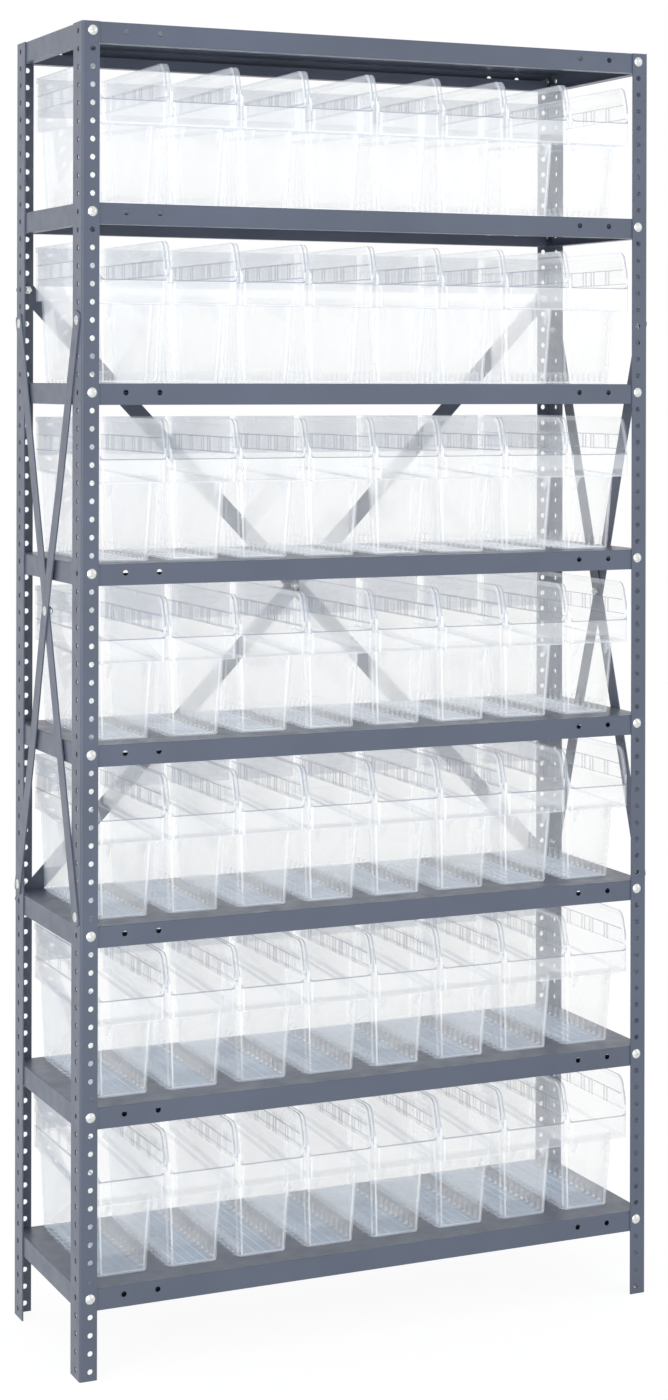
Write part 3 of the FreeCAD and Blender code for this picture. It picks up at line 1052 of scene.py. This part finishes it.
@dataclass
class Fastener:
    """A truss-head bolt with its nut, which points along +Z from the head's seat at z = 0."""

    finish: bpy.types.Material
    head_radius: float = 7.2 * MM
    head_height: float = 2.9 * MM
    shank_radius: float = 3.1 * MM
    slot_width: float = 1.4 * MM
    slot_depth: float = 1.1 * MM
    tip: float = 2.2 * MM
    tip_flat: float = 0.5 * MM
    nut_height: float = 5.6 * MM
    nut_width: float = 11.1 * MM
    nut_chamfer: float = 0.5 * MM
    thread_pitch: float = 1.27 * MM
    thread_root: float = 0.88
    bore_share: float = 1.02
    sides: int = 20
    crown_steps: int = 7

    def bolt(self, grip: float) -> bpy.types.Object:
        """Models a bolt.

        Args:
            grip: How thick the clamped sheets are.

        Returns:
            The bolt.
        """
        length = grip + self.nut_height + self.tip
        bench = Workbench.disc("bolt", self.shank_radius, length, self.sides)
        bench.everything()
        root, crest = self.thread_root, 1 / self.thread_root
        half_turn = Vector((0.0, 0.0, -self.thread_pitch / 2))
        turns = int((length - self.tip_flat) / self.thread_pitch)
        for _ in range(turns):
            bench.draw_out(half_turn, Vector((root, root, 1.0)))
            bench.draw_out(half_turn, Vector((crest, crest, 1.0)))
        bench.draw_out(Vector((0.0, 0.0, turns * self.thread_pitch - length)))
        self._head(bench)
        bench.outwards()
        self._crossed_slots(bench)
        return self._finished(bench)

    def _head(self, bench: Workbench) -> None:
        """Spreads the shank's end into the head's seat, and rounds the head above it.

        Args:
            bench: The bench that holds the bolt, with the shank's end selected.
        """
        spread = self.head_radius / self.shank_radius
        bench.draw_out(Vector(), Vector((spread, spread, 1.0)))
        crown = (self.head_radius ** 2 + self.head_height ** 2) / (2 * self.head_height)
        radius = self.head_radius
        for n in range(1, self.crown_steps):
            next_radius = self.head_radius * math.cos(math.pi / 2 * n / self.crown_steps)
            depth = math.sqrt(crown ** 2 - next_radius ** 2) - math.sqrt(crown ** 2 - radius ** 2)
            share = next_radius / radius
            bench.draw_out(Vector((0.0, 0.0, -depth)), Vector((share, share, 1.0)))
            radius = next_radius

    def _crossed_slots(self, bench: Workbench) -> None:
        """Cuts a long slot across the head, and a short one across that.

        Args:
            bench: The bench that holds the bolt.
        """
        half = self.slot_width / 2
        for reach_x, reach_y in ((self.head_radius, half), (half, 0.5 * self.head_radius)):
            low = Vector((-reach_x, -reach_y, -self.head_height - NEAR))
            high = Vector((reach_x, reach_y, -self.head_height + self.slot_depth))
            bench.combine(Workbench.block("slot", low, high), Joining.CUT)

    def nut(self, grip: float) -> bpy.types.Object:
        """Models a hexagon nut with chamfered corners.

        Args:
            grip: How far it sits from the head's seat.

        Returns:
            The nut.
        """
        corner = self.nut_width / math.sqrt(3)
        bench = Workbench.disc("nut", corner, grip, 6)
        bench.everything()
        bench.draw_out(Vector((0.0, 0.0, self.nut_height)))
        bore = Workbench.disc("bore", self.shank_radius * self.bore_share, grip - NEAR, self.sides)
        bore.everything()
        bore.draw_out(Vector((0.0, 0.0, self.nut_height + 2 * NEAR)))
        bore.outwards()
        bench.outwards()
        bench.combine(bore, Joining.CUT)
        bench.modifier("BEVEL", width=self.nut_chamfer, segments=2, angle_limit=SHARP)
        return self._finished(bench)

    def _finished(self, bench: Workbench) -> bpy.types.Object:
        """Finishes a piece and gives it its material.

        Args:
            bench: The bench that holds it.

        Returns:
            The piece.
        """
        made = bench.finish(smooth_angle=30.0)
        made.data.materials.append(self.finish)
        return made


@dataclass(frozen=True)
class Seat:
    """Where a bolt's head sits, where the bolt points and how much it clamps."""

    point: Vector
    inwards: Axis
    grip: float


@dataclass(frozen=True)
class BoltPlan:
    """The places of all bolts, from the holes that they go through."""

    half_width: float = 457.2 * MM
    half_depth: float = 152.4 * MM
    hole_pitch: float = 25.4 * MM
    face_inset: float = 15.9 * MM
    side_inset: float = 18.3 * MM
    post_gauge: float = 2.0 * MM
    shelf_gauge: float = 0.95 * MM
    strap_gauge: float = 2.0 * MM
    shelf_holes: tuple = tuple(range(74, 3, -10))
    side_strap_holes: tuple = (58, 25)
    rear_strap_holes: tuple = (60, 24)

    def height(self, hole: float) -> float:
        """Height of a post hole, counted from 0 at the foot."""
        return self.hole_pitch * (hole + 0.5)

    def seats(self) -> Iterable[Seat]:
        """Goes through the seats: shelf corners, strap ends and strap crossings."""
        face_x = self.half_width - self.face_inset
        side_y = self.half_depth - self.side_inset
        for end, side_axis in ((-1, Axis.RIGHT), (1, Axis.LEFT)):
            for hole in self.shelf_holes:
                point = Vector((end * face_x, -self.half_depth, self.height(hole)))
                yield Seat(point, Axis.BACK, self.post_gauge + self.shelf_gauge)
            for hole in sorted({*self.shelf_holes, *self.rear_strap_holes}):
                strap = self.strap_gauge if hole in self.rear_strap_holes else 0.0
                shelf = self.shelf_gauge if hole in self.shelf_holes else 0.0
                point = Vector((end * face_x, self.half_depth + strap, self.height(hole)))
                yield Seat(point, Axis.FRONT, strap + self.post_gauge + shelf)
            out = end * (self.half_width + self.strap_gauge)
            for hole, side in itertools.product(self.side_strap_holes, (-1, 1)):
                point = Vector((out, side * side_y, self.height(hole)))
                yield Seat(point, side_axis, self.strap_gauge + self.post_gauge)
            middle = self.height(sum(self.side_strap_holes) / 2)
            yield Seat(Vector((out + end * self.strap_gauge, 0.0, middle)), side_axis, 2 * self.strap_gauge)
        middle = self.height(sum(self.rear_strap_holes) / 2)
        yield Seat(Vector((0.0, self.half_depth, middle)), Axis.BACK, 2 * self.strap_gauge)

    def fit(self, fastener: Fastener) -> None:
        """Puts a bolt and a nut in every seat, each turned by a different angle.

        Args:
            fastener: What models them.
        """
        seats = list(self.seats())
        patterns = {}
        for seat in seats:
            if seat.grip not in patterns:
                patterns[seat.grip] = (fastener.bolt(seat.grip), fastener.nut(seat.grip))
        for number, seat in enumerate(seats):
            aim = Vector((0.0, 0.0, 1.0)).rotation_difference(seat.inwards.vector).to_matrix().to_4x4()
            for step, pattern in enumerate(patterns[seat.grip]):
                turn = Matrix.Rotation(GOLDEN_ANGLE * (number + step), 4, "Z")
                place = Matrix.Translation(seat.point) @ aim @ turn
                made = copy_at(pattern, f"{pattern.name.split('.')[0]}_{number + 1}", place)
                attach(made, "frame")
                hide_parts("bolts_and_nuts")
        for pattern in itertools.chain(*patterns.values()):
            bpy.data.objects.remove(pattern)
        LOG.info("bolts and nuts: %d of each", len(seats))


@dataclass
class SteelFrame:
    """The posts, shelves and straps, which keep their made shape, and their finish."""

    enamel: bpy.types.Material

    def dress(self) -> None:
        """Gives each fixed node its finish."""
        for node in ("posts", "shelves", "cross_braces"):
            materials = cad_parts[node].data.materials
            materials.clear()
            materials.append(self.enamel)
            LOG.info("%s: %s", node, self.enamel.name)


@dataclass
class Studio:
    """The camera, the floor and the light."""

    focal_length: float = 68.08
    shift_up: float = -0.2291
    yaw: float = 24.174
    roll: float = 0.127
    spot_x: float = -64.98 * INCH
    spot_y: float = -144.57 * INCH
    spot_z: float = 55.26 * INCH
    target: tuple = (0.0, 0.0, 0.95)
    floor_size: float = 14.0
    floor_colour: tuple = (0.86, 0.86, 0.86, 1.0)
    floor_glow: float = 1.05
    floor_glow_share: float = 0.88
    sky_colour: tuple = (0.95, 0.97, 1.0, 1.0)
    sky_strength: float = 0.85
    seen_rays: tuple = ("Is Camera Ray", "Is Glossy Ray", "Is Transmission Ray")

    def build(self) -> None:
        """Sets up the whole studio."""
        self._camera()
        self._floor()
        self._world()
        self._lamps()
        scene = bpy.context.scene
        scene.view_settings.view_transform = "Standard"
        scene.cycles.transparent_max_bounces = 96
        scene.cycles.max_bounces = 16
        scene.cycles.diffuse_bounces = 6
        scene.cycles.transmission_bounces = 10

    def _camera(self) -> None:
        """Places the camera where the photograph was taken from."""
        bpy.ops.object.select_all(action="DESELECT")
        data = bpy.data.cameras.new("camera")
        data.lens = self.focal_length
        data.sensor_width = 36.0
        data.shift_y = self.shift_up
        data.clip_end = 50.0
        camera = bpy.data.objects.new("camera", data)
        turn = (
            Matrix.Rotation(-math.radians(self.yaw), 4, "Z")
            @ Matrix.Rotation(math.radians(90.0), 4, "X")
            @ Matrix.Rotation(math.radians(self.roll), 4, "Z")
        )
        camera.matrix_world = Matrix.Translation((self.spot_x, self.spot_y, self.spot_z)) @ turn
        bpy.context.scene.collection.objects.link(camera)
        bpy.context.scene.camera = camera

    def _floor(self) -> None:
        """Lays a pale floor that fades into the background for the camera."""
        bpy.ops.mesh.primitive_plane_add(size=self.floor_size, location=(0.0, 0.0, 0.0))
        floor = bpy.context.view_layer.objects.active
        floor.name = "floor"
        graph = NodeGraph.material("studio_floor")
        matt = graph.add("ShaderNodeBsdfDiffuse", "BSDF", {"Color": self.floor_colour})
        light = {"Color": WHITE, "Strength": self.floor_glow}
        glow = graph.add("ShaderNodeEmission", "Emission", light)
        share = graph.math("MULTIPLY", graph.any_ray(*self.seen_rays), self.floor_glow_share)
        floor.data.materials.append(graph.close(graph.mix(share, matt, glow)))

    def _world(self) -> None:
        """Lights the scene evenly, with a white background for what sees it directly."""
        world = bpy.data.worlds.new("studio")
        bpy.context.scene.world = world
        graph = NodeGraph(world)
        soft_light = {"Color": self.sky_colour, "Strength": self.sky_strength}
        soft = graph.add("ShaderNodeBackground", "Background", soft_light)
        white = graph.add("ShaderNodeBackground", "Background", {"Color": WHITE, "Strength": 1.0})
        graph.close(graph.mix(graph.any_ray(*self.seen_rays), soft, white))

    def _lamps(self) -> None:
        """Adds soft lamps in front and low down, and an upright strip that shows in the rounded edges."""
        self._lamp("key_lamp", Vector((-2.6, -3.6, 3.2)), (3.0, 3.0), 42.0, (0.80, 0.90, 1.0))
        self._lamp("low_lamp", Vector((-1.4, -3.2, 0.35)), (2.4, 0.6), 12.0)
        self._lamp("fill_lamp", Vector((3.2, -3.0, 2.2)), (3.0, 3.0), 15.0)
        self._lamp("strip_lamp", Vector((-2.9, -1.9, 1.1)), (0.3, 2.4), 25.0)

    def _lamp(
        self, name: str, spot: Vector, size: tuple[float, float], power: float, colour: tuple = WHITE[:3]
    ) -> None:
        """Adds one lamp that points at the unit's middle.

        Args:
            name: The lamp's name.
            spot: Where it hangs.
            size: Its width and height.
            power: Its power in watts.
            colour: Its colour.
        """
        data = bpy.data.lights.new(name, "AREA")
        data.shape = "RECTANGLE"
        data.size, data.size_y = size
        data.energy = power
        data.color = colour
        lamp = bpy.data.objects.new(name, data)
        aim = Vector(self.target) - spot
        lamp.matrix_world = Matrix.Translation(spot) @ aim.to_track_quat("-Z", "Y").to_matrix().to_4x4()
        bpy.context.scene.collection.objects.link(lamp)


def main() -> None:
    """Builds the studio and every piece in order."""
    logging.basicConfig(level=logging.INFO, format="%(message)s")
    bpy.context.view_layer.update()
    Studio().build()
    SteelFrame(GreyEnamel().material()).dress()
    BoltPlan().fit(Fastener(ZincPlate().material()))
    low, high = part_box("bin_row1_slot1")
    size = high - low
    ClearBin(size.y, size.x, size.z).stock()


if __name__ == "__main__":
    main()
